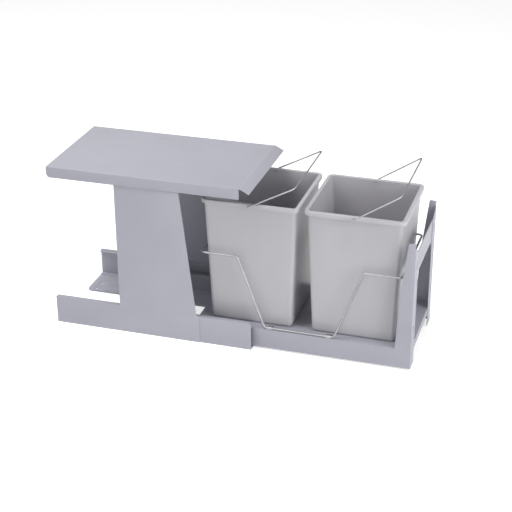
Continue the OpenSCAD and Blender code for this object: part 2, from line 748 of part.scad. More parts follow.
on_side(-1) side_plate();  // side_plate_left
on_side(1) side_plate();  // side_plate_right
on_side(-1) side_channel();  // side_channel_left
on_side(1) side_channel();  // side_channel_right
cover();
cover_studs();
cover_nuts();
on_side(-1) slide_stand();  // slide_stand_left
on_side(1) slide_stand();  // slide_stand_right
on_side(-1) slide_outer();  // slide_outer_left
on_side(1) slide_outer();  // slide_outer_right
slide_rivets();
on_side(-1) ball_cage();  // ball_cage_left
on_side(1) ball_cage();  // ball_cage_right
on_side(-1) balls();  // balls_left
on_side(1) balls();  // balls_right
on_side(-1) slide_inner();  // slide_inner_left
on_side(1) slide_inner();  // slide_inner_right
tray_plate();
on_side(-1) tray_side();  // tray_side_left
on_side(1) tray_side();  // tray_side_right
front_crossbar();
guard_wire();
wire_clips();
clip_screws();
bin_at(rear_bin_y);  // bin_rear
bin_at(front_bin_y);  // bin_front
bail_at(rear_bin_y, rear_bail_angle);  // bail_rear
bail_at(front_bin_y, front_bail_angle);  // bail_front
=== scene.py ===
import math

import bmesh
import bpy
from mathutils import Matrix, Vector


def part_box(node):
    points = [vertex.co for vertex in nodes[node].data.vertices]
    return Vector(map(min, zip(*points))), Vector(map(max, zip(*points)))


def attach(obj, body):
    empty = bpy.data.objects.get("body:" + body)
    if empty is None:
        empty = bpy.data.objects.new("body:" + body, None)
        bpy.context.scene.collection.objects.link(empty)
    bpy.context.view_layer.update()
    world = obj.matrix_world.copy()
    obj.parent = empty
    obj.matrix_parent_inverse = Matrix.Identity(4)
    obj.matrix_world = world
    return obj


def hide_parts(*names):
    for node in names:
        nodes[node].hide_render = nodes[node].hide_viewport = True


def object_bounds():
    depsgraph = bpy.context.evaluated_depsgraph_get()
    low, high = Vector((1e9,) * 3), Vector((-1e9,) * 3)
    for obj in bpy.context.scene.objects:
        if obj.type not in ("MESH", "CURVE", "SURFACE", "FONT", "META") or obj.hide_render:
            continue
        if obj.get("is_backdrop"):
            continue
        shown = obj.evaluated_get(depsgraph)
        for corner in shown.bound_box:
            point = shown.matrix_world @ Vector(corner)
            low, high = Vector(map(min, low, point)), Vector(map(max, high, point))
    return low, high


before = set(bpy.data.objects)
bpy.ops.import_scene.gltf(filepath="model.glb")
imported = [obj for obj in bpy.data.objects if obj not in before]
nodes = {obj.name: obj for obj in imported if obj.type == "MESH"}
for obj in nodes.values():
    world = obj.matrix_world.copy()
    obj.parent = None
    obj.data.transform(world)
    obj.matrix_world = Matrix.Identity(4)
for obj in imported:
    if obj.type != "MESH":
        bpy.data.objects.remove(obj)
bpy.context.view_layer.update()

# Side plates. Each is one sheet of 1.5 mm steel, laser cut and bent: a low strip, an upright that carries the
# cover, and a wide foot with a small stiffening edge. They are powder coated in a fine silver grey.
MM = 0.001


def box_mm(name):
    """The low and the high corner of a CAD piece's box, in millimetres."""
    return [[round(v / MM, 3) for v in corner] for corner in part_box(name)]


plate_low, plate_high = box_mm("side_plate_right")
FOOT_X, FRONT_Y = plate_low[:2]
PLATE_X, BACK_Y, COVER_UNDER = plate_high
PLATE_T, PLATE_BEND, TAB_W, FOOT_EDGE, FOOT_ROUND = 1.5, 1.4, 20.0, 5.0, 14.0
STRIP_TOP, STRIP_END = 64.0, -109.0
UPRIGHT_BACK, UPRIGHT_FRONT, UPRIGHT_FOOT = 73.0, -68.0, -103.0
FLOOR_HOLE_XS, FLOOR_HOLE_YS, FLOOR_HOLE_R = (72.0, 43.0), (205.0, -205.0), 2.5
STUD_X, STUD_YS, STUD_HOLE_R = 115.25, (38.0, -33.0), 2.6
FLOOR_CUT_LOW, FLOOR_CUT_HIGH = -2.0, PLATE_T + 2.5
STUD_CUT_LOW, STUD_CUT_HIGH = COVER_UNDER - 4.8, COVER_UNDER + 3.2


def noise(m, where, scale, detail):
    """A noise texture of a material, read at the given coordinates."""
    texture = m.node_tree.nodes.new("ShaderNodeTexNoise")
    texture.inputs["Scale"].default_value = scale
    texture.inputs["Detail"].default_value = detail
    m.node_tree.links.new(where, texture.inputs["Vector"])
    return texture.outputs["Fac"]


def stretched(m, where, scale):
    """Coordinates scaled along each axis, so that a pattern runs in streaks along the least scaled one."""
    mapping = m.node_tree.nodes.new("ShaderNodeMapping")
    mapping.inputs["Scale"].default_value = scale
    m.node_tree.links.new(where, mapping.inputs["Vector"])
    return mapping.outputs["Vector"]


def tone_by(m, pattern, span, tone, shares):
    """Takes the base colour from one share of the tone to the other as the pattern goes through the span."""
    ramp = m.node_tree.nodes.new("ShaderNodeValToRGB")
    for stop, position, share in zip(ramp.color_ramp.elements, span, shares):
        stop.position = position
        stop.color = [min(1.0, c * share) for c in tone] + [1.0]
    m.node_tree.links.new(pattern, ramp.inputs["Fac"])
    m.node_tree.links.new(ramp.outputs["Color"], m.node_tree.nodes["Principled BSDF"].inputs["Base Color"])


def gloss_by(m, pattern, span, rough, less, more):
    """Takes the roughness from a little less to a little more as the pattern goes through the span."""
    level = m.node_tree.nodes.new("ShaderNodeMapRange")
    level.inputs["From Min"].default_value, level.inputs["From Max"].default_value = span
    level.inputs["To Min"].default_value = rough - less
    level.inputs["To Max"].default_value = rough + more
    m.node_tree.links.new(pattern, level.inputs["Value"])
    m.node_tree.links.new(level.outputs["Result"], m.node_tree.nodes["Principled BSDF"].inputs["Roughness"])


def relief_by(m, pattern, strength, distance):
    """Raises the surface a little where the pattern is high."""
    bump = m.node_tree.nodes.new("ShaderNodeBump")
    bump.inputs["Strength"].default_value = strength
    bump.inputs["Distance"].default_value = distance
    m.node_tree.links.new(pattern, bump.inputs["Height"])
    m.node_tree.links.new(bump.outputs["Normal"], m.node_tree.nodes["Principled BSDF"].inputs["Normal"])


def weighted(m, pattern, share, rest=None):
    """A share of a pattern, on top of the rest where there is one."""
    blend = m.node_tree.nodes.new("ShaderNodeMath")
    blend.operation = "MULTIPLY_ADD"
    blend.inputs[1].default_value = share
    blend.inputs[2].default_value = 0.0
    m.node_tree.links.new(pattern, blend.inputs[0])
    if rest is not None:
        m.node_tree.links.new(rest, blend.inputs[2])
    return blend.outputs[0]


def new_material(name):
    """A material, its shader and its object coordinates."""
    m = bpy.data.materials.new(name)
    m.use_nodes = True
    where = m.node_tree.nodes.new("ShaderNodeTexCoord").outputs["Object"]
    return m, m.node_tree.nodes["Principled BSDF"], where


def powder_coat(name, tone, rough):
    """Powder coat on steel: a close orange-peel grain, faint clouds in its tone and light rubbed streaks."""
    m, shader, where = new_material(name)
    shader.inputs["Metallic"].default_value = 0.0
    shader.inputs["IOR"].default_value = 1.5
    shader.inputs["Coat Weight"].default_value = 0.12
    shader.inputs["Coat Roughness"].default_value = 0.3
    clouds = noise(m, where, scale=9.0, detail=4.0)
    specks = noise(m, where, scale=900.0, detail=2.0)
    rubbed = noise(m, stretched(m, where, (60.0, 4.0, 60.0)), scale=3.0, detail=5.0)
    both = weighted(m, specks, 0.25, weighted(m, clouds, 0.75))
    tone_by(m, both, span=(0.3, 0.7), tone=tone, shares=(0.95, 1.04))
    gloss_by(m, rubbed, span=(0.35, 0.7), rough=rough, less=0.05, more=0.07)
    relief_by(m, specks, strength=0.18, distance=0.00025)
    return m


silver_coat = powder_coat("silver_coat", tone=(0.405, 0.406, 0.466), rough=0.5)


def new_object(name, data):
    """An object at the origin, in the scene."""
    obj = bpy.data.objects.new(name, data)
    bpy.context.scene.collection.objects.link(obj)
    return obj


def new_mesh(name, bm):
    """The mesh of an edit, which ends with it."""
    mesh = bpy.data.meshes.new(name)
    bm.to_mesh(mesh)
    bm.free()
    return mesh


def keep_mesh(obj, material):
    """Puts an object's modifiers into its mesh, which stays at the origin, and gives it one material."""
    bpy.context.view_layer.update()
    seen = obj.evaluated_get(bpy.context.evaluated_depsgraph_get())
    done = bpy.data.meshes.new_from_object(seen, depsgraph=bpy.context.evaluated_depsgraph_get())
    obj.modifiers.clear()
    if obj.type == "MESH":
        obj.data = done
    else:
        name = obj.name
        bpy.data.objects.remove(obj)
        obj = new_object(name, done)
    obj.data.materials.clear()
    obj.data.materials.append(material)
    for face in obj.data.polygons:
        face.material_index = 0
    return obj


def smooth_faces(obj, degrees):
    """Smooth shading that breaks at edges sharper than this."""
    mesh = obj.data
    mesh.polygons.foreach_set("use_smooth", [True] * len(mesh.polygons))
    mesh.set_sharp_from_angle(angle=math.radians(degrees))
    mesh.update()


def mirror_mesh(mesh):
    """Turns a mesh of the right side into that of the left one."""
    mesh.transform(Matrix.Scale(-1, 4, (1, 0, 0)))
    mesh.flip_normals()


def arc(cx, cy, r, start, end, steps=8):
    """Points of an arc round (cx, cy), with its angles in degrees."""
    angles = [math.radians(start + (end - start) * k / steps) for k in range(steps + 1)]
    return [(cx + r * math.cos(a), cy + r * math.sin(a)) for a in angles]


def drill(low, high, r, sides=32):
    """A cutter between two points, in millimetres, that makes a round hole."""
    low, high = Vector(low) * MM, Vector(high) * MM
    bm = bmesh.new()
    depth = (high - low).length
    bmesh.ops.create_cone(bm, cap_ends=True, segments=sides, radius1=r * MM, radius2=r * MM, depth=depth)
    way = (high - low).to_track_quat("Z", "Y").to_matrix().to_4x4()
    bmesh.ops.transform(bm, matrix=Matrix.Translation((low + high) / 2) @ way, verts=bm.verts)
    return new_mesh("drill", bm)


def cut_with(obj, cutters):
    """Sets a piece to lose the cutters once its modifiers go into its mesh, and gives back their object."""
    bm = bmesh.new()
    for mesh in cutters:
        bm.from_mesh(mesh)
    tool = new_object("cutter", new_mesh("cutter", bm))
    boolean = obj.modifiers.new("holes", "BOOLEAN")
    boolean.operation = "DIFFERENCE"
    boolean.solver = "EXACT"
    boolean.object = tool
    return tool


def bent_sheet(name, faces, bends, thick, bend_r, material, cutters=(), soften=0.25, side=1):
    """A sheet from its outer faces, in millimetres, each with the way it looks. The shared edges named in
    bends are rounded, and side is -1 for the mirrored piece of the left."""
    bm = bmesh.new()
    known = {}

    def corner(p):
        key = tuple(round(c, 4) for c in p)
        if key not in known:
            known[key] = bm.verts.new(Vector(p) * MM)
        return known[key]

    for points, looks in faces:
        face = bm.faces.new([corner(p) for p in points])
        face.normal_update()
        if face.normal.dot(Vector(looks)) < 0:
            face.normal_flip()
    rounded = [bm.edges.get((corner(a), corner(b))) for a, b in bends]
    if rounded:
        bmesh.ops.bevel(bm, geom=rounded, offset=bend_r * MM, segments=5, profile=0.5,
                        affect="EDGES", clamp_overlap=True)
    mesh = new_mesh(name, bm)
    if side < 0:
        for part in (mesh, *cutters):
            mirror_mesh(part)
    obj = new_object(name, mesh)
    wall = obj.modifiers.new("wall", "SOLIDIFY")
    wall.thickness = thick * MM
    wall.offset = -1.0
    wall.use_even_offset = True
    tool = cut_with(obj, cutters) if cutters else None
    edges = obj.modifiers.new("edges", "BEVEL")
    edges.width = soften * MM
    edges.segments = 2
    edges.limit_method = "ANGLE"
    edges.angle_limit = math.radians(50)
    obj = keep_mesh(obj, material)
    if tool is not None:
        bpy.data.objects.remove(tool)
    smooth_faces(obj, degrees=32)
    return obj


def plate_faces():
    """Outer faces of the right side plate, and its bends."""
    x, under = PLATE_X, COVER_UNDER
    web = [(x, BACK_Y, 0), (x, BACK_Y, STRIP_TOP), (x, UPRIGHT_BACK, STRIP_TOP), (x, UPRIGHT_BACK, under),
           (x, UPRIGHT_FRONT, under), (x, UPRIGHT_FOOT, STRIP_TOP),
           (x, STRIP_END, STRIP_TOP), (x, STRIP_END, 0)]
    turn = arc(FOOT_X + FOOT_ROUND, BACK_Y - FOOT_ROUND, FOOT_ROUND, 90, 180)
    back_round = [(px, py, 0) for px, py in turn]
    foot = [(x, BACK_Y, 0)] + back_round + [(FOOT_X, FRONT_Y, 0), (x - PLATE_T, FRONT_Y, 0),
                                            (x - PLATE_T, STRIP_END, 0), (x, STRIP_END, 0)]
    edge = [back_round[-1], (FOOT_X, FRONT_Y, 0),
            (FOOT_X, FRONT_Y, FOOT_EDGE), (FOOT_X, BACK_Y - FOOT_ROUND, FOOT_EDGE)]
    tab = [(x, UPRIGHT_BACK, under), (x, UPRIGHT_FRONT, under),
           (x - TAB_W, UPRIGHT_FRONT, under), (x - TAB_W, UPRIGHT_BACK, under)]
    faces = [(web, (1, 0, 0)), (foot, (0, 0, -1)), (edge, (-1, 0, 0)), (tab, (0, 0, 1))]
    bends = [(web[0], web[-1]), (edge[0], edge[1]), (tab[0], tab[1])]
    return faces, bends


for side, hand in ((-1, "left"), (1, "right")):
    holes = [drill((hx, hy, FLOOR_CUT_LOW), (hx, hy, FLOOR_CUT_HIGH), FLOOR_HOLE_R)
             for hx in FLOOR_HOLE_XS for hy in FLOOR_HOLE_YS]
    holes += [drill((STUD_X, hy, STUD_CUT_LOW), (STUD_X, hy, STUD_CUT_HIGH), STUD_HOLE_R) for hy in STUD_YS]
    plate = bent_sheet("plate_" + hand, *plate_faces(), PLATE_T, PLATE_BEND, silver_coat, holes, side=side)
    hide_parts("side_plate_" + hand)
    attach(plate, "base")

# Side channels. Each is a bent channel of 1.2 mm steel, open towards the tray and spot welded inside the
# strip. Its front end stands out past the strip. It has the same powder coat.
channel_low, channel_high = box_mm("side_channel_right")
LEDGE_X, CHANNEL_X, CHANNEL_TOP = channel_low[0], channel_high[0], channel_high[2]
CHANNEL_T, CHANNEL_BEND, NOSE_R = 1.2, 1.3, 5.0


def channel_faces():
    """Outer faces of the right channel, with the round of its front end, and its bends."""
    x, low, top = CHANNEL_X, PLATE_T, CHANNEL_TOP
    nose = [(x, py, pz) for py, pz in arc(FRONT_Y + NOSE_R, top - NOSE_R, NOSE_R, 90, 180)]
    web = [(x, BACK_Y, low), (x, BACK_Y, top)] + nose + [(x, FRONT_Y, low)]
    upper = [(x, BACK_Y, top), nose[0], (LEDGE_X, FRONT_Y + NOSE_R, top), (LEDGE_X, BACK_Y, top)]
    lower = [(x, BACK_Y, low), (x, FRONT_Y, low), (LEDGE_X, FRONT_Y, low), (LEDGE_X, BACK_Y, low)]
    faces = [(web, (1, 0, 0)), (upper, (0, 0, 1)), (lower, (0, 0, -1))]
    return faces, [((x, BACK_Y, top), nose[0]), ((x, BACK_Y, low), (x, FRONT_Y, low))]


for side, hand in ((-1, "left"), (1, "right")):
    channel = bent_sheet("channel_" + hand, *channel_faces(), CHANNEL_T, CHANNEL_BEND, silver_coat, side=side)
    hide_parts("side_channel_" + hand)
    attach(channel, "base")

# Slides. Stands of bent steel rise from the feet inside the tray's skirts and carry the outer slide members,
# and the inner members are welded to the skirts. The members and cages are rolled from zinc plated strip, and
# show its spangle and long rolling marks. The stands are powder coated.


def zinc_plate(name, tone, rough, metal=0.85):
    """Zinc plated steel: a soft spangle in its tone, and fine marks along the strip."""
    m, shader, where = new_material(name)
    shader.inputs["Metallic"].default_value = metal
    spangle = m.node_tree.nodes.new("ShaderNodeTexVoronoi")
    spangle.inputs["Scale"].default_value = 220.0
    m.node_tree.links.new(where, spangle.inputs["Vector"])
    dull = noise(m, where, scale=25.0, detail=6.0)
    marks = noise(m, stretched(m, where, (700.0, 12.0, 700.0)), scale=1.0, detail=3.0)
    both = weighted(m, spangle.outputs["Distance"], 0.3, dull)
    tone_by(m, both, span=(0.3, 0.75), tone=tone, shares=(0.8, 1.0))
    gloss_by(m, marks, span=(0.0, 1.0), rough=rough, less=0.08, more=0.12)
    relief_by(m, marks, strength=0.12, distance=0.0001)
    return m


strip_zinc = zinc_plate("strip_zinc", tone=(0.5, 0.51, 0.53), rough=0.36)
for name in ("slide_outer_left", "slide_outer_right", "slide_inner_left", "slide_inner_right",
             "ball_cage_left", "ball_cage_right"):
    nodes[name].data.materials.clear()
    nodes[name].data.materials.append(strip_zinc)
for name in ("slide_stand_left", "slide_stand_right"):
    nodes[name].data.materials.clear()
    nodes[name].data.materials.append(silver_coat)

# Slide rivets. Flush steel rivets hold the outer members on the stands, and their short tails show on the far
# side. One rivet is turned as a solid and set at every place along the stands.
outer_low, outer_high = box_mm("slide_outer_right")
STAND_X, SLIDE_FRONT = outer_low[:2]
SLIDE_L, SLIDE_Z = outer_high[1] - outer_low[1], (outer_low[2] + outer_high[2]) / 2
MEMBER_T, RIVET_R, RIVET_L, RIVET_SHARES = 1.2, 2.0, 2.7, (0.06, 0.38, 0.7)
RIVET_HEAD, RIVET_TIP_R, RIVET_TIP_H = [(2.6, 0), (3.3, 0.12), (3.2, 0.25)], 1.7, 0.1


def turned(name, profile, sides=24):
    """A solid turned round Z from (radius, height) points in millimetres, from its bottom to its top."""
    bm = bmesh.new()
    rings = []
    for r, z in profile:
        if r == 0:
            rings.append([bm.verts.new((0, 0, z * MM))])
            continue
        angles = [2 * math.pi * k / sides for k in range(sides)]
        rings.append([bm.verts.new((r * MM * math.cos(a), r * MM * math.sin(a), z * MM)) for a in angles])
    for low, high in zip(rings, rings[1:]):
        for k in range(sides):
            a, b = low[k % len(low)], low[(k + 1) % len(low)]
            c, d = high[(k + 1) % len(high)], high[k % len(high)]
            bm.faces.new([v for i, v in enumerate((a, b, c, d)) if v not in (a, b, c, d)[:i]])
    bmesh.ops.recalc_face_normals(bm, faces=bm.faces)
    return new_mesh(name, bm)


def new_tree(name, inputs):
    """A Geometry Nodes tree with named inputs that ends in Realize Instances and Set Material."""
    tree = bpy.data.node_groups.new(name, "GeometryNodeTree")
    for title, kind in inputs:
        tree.interface.new_socket(title, in_out="INPUT", socket_type="NodeSocket" + kind)
    tree.interface.new_socket("Geometry", in_out="OUTPUT", socket_type="NodeSocketGeometry")
    n, link = tree.nodes, tree.links
    given, done = n.new("NodeGroupInput"), n.new("NodeGroupOutput")
    solid = n.new("GeometryNodeRealizeInstances")
    finish = n.new("GeometryNodeSetMaterial")
    link.new(solid.outputs["Geometry"], finish.inputs["Geometry"])
    link.new(given.outputs["Finish"], finish.inputs["Material"])
    link.new(finish.outputs["Geometry"], done.inputs["Geometry"])
    return tree, given, solid


def copies_tree():
    """Geometry Nodes that set a piece at each point, turned by the point's own angles, as one mesh."""
    tree, given, solid = new_tree("copies_at_points", (("Points", "Geometry"), ("Piece", "Object"),
                                                       ("Scale", "Float"), ("Finish", "Material")))
    n, link = tree.nodes, tree.links
    piece = n.new("GeometryNodeObjectInfo")
    turns = n.new("GeometryNodeInputNamedAttribute")
    turns.data_type = "FLOAT_VECTOR"
    turns.inputs["Name"].default_value = "turns"
    spread = n.new("GeometryNodeInstanceOnPoints")
    link.new(given.outputs["Points"], spread.inputs["Points"])
    link.new(given.outputs["Piece"], piece.inputs["Object"])
    link.new(piece.outputs["Geometry"], spread.inputs["Instance"])
    link.new(turns.outputs["Attribute"], spread.inputs["Rotation"])
    link.new(given.outputs["Scale"], spread.inputs["Scale"])
    link.new(spread.outputs["Instances"], solid.inputs["Geometry"])
    return tree


def set_input(modifier, name, value):
    """Sets a tree's named input by its socket's identifier."""
    for item in modifier.node_group.interface.items_tree:
        if item.item_type == "SOCKET" and item.in_out == "INPUT" and item.name == name:
            modifier[item.identifier] = value
            return


copies = copies_tree()


def set_out(name, piece_mesh, places, material, degrees=35):
    """Copies of a piece at places of (point in millimetres, turns about X, Y and Z in degrees)."""
    mesh = bpy.data.meshes.new(name)
    mesh.from_pydata([Vector(p) * MM for p, turns in places], [], [])
    angles = mesh.attributes.new("turns", "FLOAT_VECTOR", "POINT")
    for spot, (p, turns) in zip(angles.data, places):
        spot.vector = [math.radians(v) for v in turns]
    obj = new_object(name, mesh)
    piece = new_object(name + "_piece", piece_mesh)
    modifier = obj.modifiers.new("copies", "NODES")
    modifier.node_group = copies
    set_input(modifier, "Piece", piece)
    set_input(modifier, "Scale", 1.0)
    set_input(modifier, "Finish", material)
    obj = keep_mesh(obj, material)
    bpy.data.objects.remove(piece)
    smooth_faces(obj, degrees)
    return obj


rivet = turned("rivet", [(0, 0), *RIVET_HEAD, (RIVET_R, MEMBER_T), (RIVET_R, RIVET_L - RIVET_TIP_H),
                         (RIVET_TIP_R, RIVET_L), (0, RIVET_L)])
rivet_places = []
for side in (-1, 1):
    for share in RIVET_SHARES:
        y = SLIDE_FRONT + SLIDE_L * (1 - share)
        rivet_places.append(((side * (STAND_X + MEMBER_T), y, SLIDE_Z), (0, side * -90, 0)))
rivets = set_out("rivets", rivet, rivet_places, strip_zinc)
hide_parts("slide_rivets")
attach(rivets, "base")

# Balls. Ground and polished steel balls run in rows between the members' tracks and stand in the cages'
# windows. Each point of two rows carries one ball.
BALL_R, BALL_PITCH, BALL_COUNT, BALL_Z = 1.8, 8.0, 7, 14.45
ball_steel = zinc_plate("ball_steel", tone=(0.62, 0.62, 0.64), rough=0.14, metal=1.0)
ball_turns = [math.radians(a) for a in range(15, 180, 15)]
ball_line = [(BALL_R * math.sin(a), -BALL_R * math.cos(a)) for a in ball_turns]
ball = turned("ball", [(0, -BALL_R)] + ball_line + [(0, BALL_R)], sides=18)
cage_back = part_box("ball_cage_right")[1].y / MM
for side, hand in ((-1, "left"), (1, "right")):
    low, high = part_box("balls_" + hand)
    across = (low.x + high.x) / 2 / MM
    rows = [((across, cage_back - BALL_PITCH * (k + 0.5), SLIDE_Z + up * BALL_Z), (0, 0, 0))
            for up in (-1, 1) for k in range(BALL_COUNT)]
    row = set_out("balls_" + hand + "_row", ball, rows, ball_steel, degrees=60)
    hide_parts("balls_" + hand)
    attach(row, "cage_" + hand)

# Cover. One sheet of 1.2 mm steel, bent down at both sides, with a sloped lip at the front that leads the
# bails under it. It has the silver powder coat, and lies on the tabs of the side plates.
cover_low, cover_high = box_mm("cover")
COVER_X, COVER_TOP, SIDE_LIP_H = cover_high[0], cover_high[2], cover_high[2] - cover_low[2]
COVER_T, COVER_BEND, SIDE_LIP_GAP, SIDE_LIP_ROUND = 1.2, 1.6, 3.0, 8.0
FRONT_LIP_OUT, FRONT_LIP_DROP = 19.0, 9.96
CREASE_Y = cover_low[1] + FRONT_LIP_OUT


def cover_faces():
    """Outer faces of the cover: its top, its front lip and its side lips with a round at the back."""
    x, top, crease = COVER_X, COVER_TOP, CREASE_Y
    start, low = crease + SIDE_LIP_GAP, top - SIDE_LIP_H
    lip_y, lip_z = crease - FRONT_LIP_OUT, top - FRONT_LIP_DROP
    plate = [(-x, BACK_Y, top), (-x, start, top), (-x, crease, top),
             (x, crease, top), (x, start, top), (x, BACK_Y, top)]
    lip = [(-x, crease, top), (x, crease, top), (x, lip_y, lip_z), (-x, lip_y, lip_z)]
    faces = [(plate, (0, 0, 1)), (lip, (0, -1, 1))]
    bends = [((-x, crease, top), (x, crease, top))]
    turn = arc(BACK_Y - SIDE_LIP_ROUND, low + SIDE_LIP_ROUND, SIDE_LIP_ROUND, 0, -90)
    for s in (-1, 1):
        fold = ((s * x, start, top), (s * x, BACK_Y, top))
        tail = [(s * x, py, pz) for py, pz in turn]
        faces.append(([*fold, *tail, (s * x, start, low)], (s, 0, 0)))
        bends.append(fold)
    return faces, bends


cover = bent_sheet("cover_sheet", *cover_faces(), COVER_T, COVER_BEND, silver_coat)
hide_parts("cover")
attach(cover, "base")

# Cover studs and nuts. Threaded studs are welded under the cover, and hexagon nuts draw it down on the tabs.
# The nuts are chamfered, and the studs show their thread below them.
STUD_R, STUD_CORE_R, STUD_L, STUD_TIP_R, STUD_TIP_H = 2.5, 2.15, 9.0, 1.7, 0.3
THREAD_PITCH, THREAD_TURNS = 0.5, 16
NUT_R, NUT_LOW_R, NUT_TOP_R, NUT_BORE_R, NUT_H, NUT_CHAMFER = 4.6, 3.7, 3.9, 2.6, 4.0, 0.4
thread = [(0, -STUD_L), (STUD_TIP_R, -STUD_L)]
for k in range(THREAD_TURNS):
    root = STUD_TIP_H - STUD_L + k * THREAD_PITCH
    thread += [(STUD_CORE_R, root), (STUD_R, root + THREAD_PITCH / 2)]
stud = turned("stud", thread + [(STUD_R, 0), (0, 0)], sides=20)
nut_low, nut_top = -PLATE_T - NUT_H, -PLATE_T
nut = turned("nut", [(NUT_BORE_R, nut_low), (NUT_LOW_R, nut_low), (NUT_R, nut_low + NUT_CHAMFER),
                     (NUT_R, nut_top - NUT_CHAMFER), (NUT_TOP_R, nut_top), (NUT_BORE_R, nut_top)], sides=6)
stud_places = [((side * STUD_X, y, COVER_UNDER), (0, 0, 0)) for side in (-1, 1) for y in STUD_YS]
for name, shape, node in (("stud_row", stud, "cover_studs"), ("nut_row", nut, "cover_nuts")):
    row = set_out(name, shape, stud_places, strip_zinc)
    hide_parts(node)
    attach(row, "base")

# Tray. The tray's plate and its two sides are 1.2 mm steel, spot welded along the edge, and powder coated as
# the base is. Each side is skirt, bracket and door flange in one, with upright slots for the door's screws.
tray_low, tray_high = box_mm("tray_plate")
SKIRT_IN, TRAY_TOP, TRAY_LIP_H = tray_high[0], tray_high[2], tray_high[2] - tray_low[2]
bracket_low, bracket_high = box_mm("tray_side_right")
FLANGE_X, TRAY_FRONT, SKIRT_LOW = bracket_low
SKIRT_X, TRAY_BACK, BRACKET_TOP = bracket_high
BAR_TOP = box_mm("front_crossbar")[1][2]
TRAY_T, TRAY_BEND, TAIL_X, FLANGE_TOP = 1.2, 1.3, 98.6, 281.0
BRACKET_MID_Z, BRACKET_FOOT_W, BRACKET_MID_W, BRACKET_TOP_W = 188.0, 34.0, 27.0, 15.0
SLOT_X, SLOT_ZS, SLOT_R, SLOT_REACH = 96.3, (238.0, 90.0), 2.75, 5.25
WIRE_X, CLIP_YS, CLIP_SCREW_IN, SCREW_HOLE_R = 108.1, (-261.5, -390.5), 8.725, 1.6
SLOT_CUT_FRONT, SLOT_CUT_BACK = TRAY_FRONT - 3.0, TRAY_FRONT + 6.0
SCREW_CUT_LOW, SCREW_CUT_HIGH = TRAY_TOP - 4.0, TRAY_TOP + 4.0


def tray_side_faces():
    """Outer faces of the tray's right side, with its door flange, and the bend between them."""
    x, f = SKIRT_X, TRAY_FRONT
    web = [(x, TRAY_BACK, SKIRT_LOW), (x, TRAY_BACK, TRAY_TOP), (x, f + BRACKET_FOOT_W, TRAY_TOP),
           (x, f + BRACKET_MID_W, BRACKET_MID_Z), (x, f + BRACKET_TOP_W, BRACKET_TOP), (x, f, BRACKET_TOP),
           (x, f, FLANGE_TOP), (x, f, SKIRT_LOW)]
    flange = [(x, f, SKIRT_LOW), (x, f, FLANGE_TOP), (FLANGE_X, f, BAR_TOP), (FLANGE_X, f, SKIRT_LOW)]
    return [(web, (1, 0, 0)), (flange, (0, -1, 0))], [((x, f, SKIRT_LOW), (x, f, FLANGE_TOP))]


def pushed_out(name, outline, from_y, to_y):
    """A solid of an outline in X and Z, in millimetres, pushed from one depth to another."""
    bm = bmesh.new()
    near = [bm.verts.new((px * MM, from_y * MM, pz * MM)) for px, pz in outline]
    far = [bm.verts.new((px * MM, to_y * MM, pz * MM)) for px, pz in outline]
    bm.faces.new(near)
    bm.faces.new(far[::-1])
    for k in range(len(near)):
        j = (k + 1) % len(near)
        bm.faces.new([near[k], far[k], far[j], near[j]])
    bmesh.ops.recalc_face_normals(bm, faces=bm.faces)
    return new_mesh(name, bm)


def slot_cutters(side=1):
    """Cutters of one side's slots, through the flange and the crossbar behind it."""
    found = []
    for z in SLOT_ZS:
        outline = arc(SLOT_X, z + SLOT_REACH, SLOT_R, 0, 180, steps=12)
        outline += arc(SLOT_X, z - SLOT_REACH, SLOT_R, 180, 360, steps=12)
        slot = pushed_out("slot", outline, SLOT_CUT_FRONT, SLOT_CUT_BACK)
        if side < 0:
            mirror_mesh(slot)
        found.append(slot)
    return found


for side, hand in ((-1, "left"), (1, "right")):
    wing = bent_sheet("tray_wing_" + hand, *tray_side_faces(), TRAY_T, TRAY_BEND, silver_coat, slot_cutters(),
                      side=side)
    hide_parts("tray_side_" + hand)
    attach(wing, "tray")


def tray_faces():
    """Outer faces of the tray's plate, with its lips at the front and the back, and their bends."""
    x, back_x, front, back = SKIRT_IN, TAIL_X, TRAY_FRONT + TRAY_T, TRAY_BACK
    top, low = TRAY_TOP, TRAY_TOP - TRAY_LIP_H
    plate = [(-x, front, top), (x, front, top), (x, back, top),
             (back_x, back, top), (-back_x, back, top), (-x, back, top)]
    nose = [(-x, front, top), (x, front, top), (x, front, low), (-x, front, low)]
    tail = [(-back_x, back, top), (back_x, back, top), (back_x, back, low), (-back_x, back, low)]
    faces = [(plate, (0, 0, 1)), (nose, (0, -1, 0)), (tail, (0, 1, 0))]
    return faces, [(nose[0], nose[1]), (tail[0], tail[1])]


CLIP_SCREW_X = WIRE_X - CLIP_SCREW_IN
screw_holes = []
for x in (-CLIP_SCREW_X, CLIP_SCREW_X):
    for y in CLIP_YS:
        screw_holes.append(drill((x, y, SCREW_CUT_LOW), (x, y, SCREW_CUT_HIGH), SCREW_HOLE_R, sides=20))
tray = bent_sheet("tray_sheet", *tray_faces(), TRAY_T, TRAY_BEND, silver_coat, screw_holes)
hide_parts("tray_plate")
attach(tray, "tray")

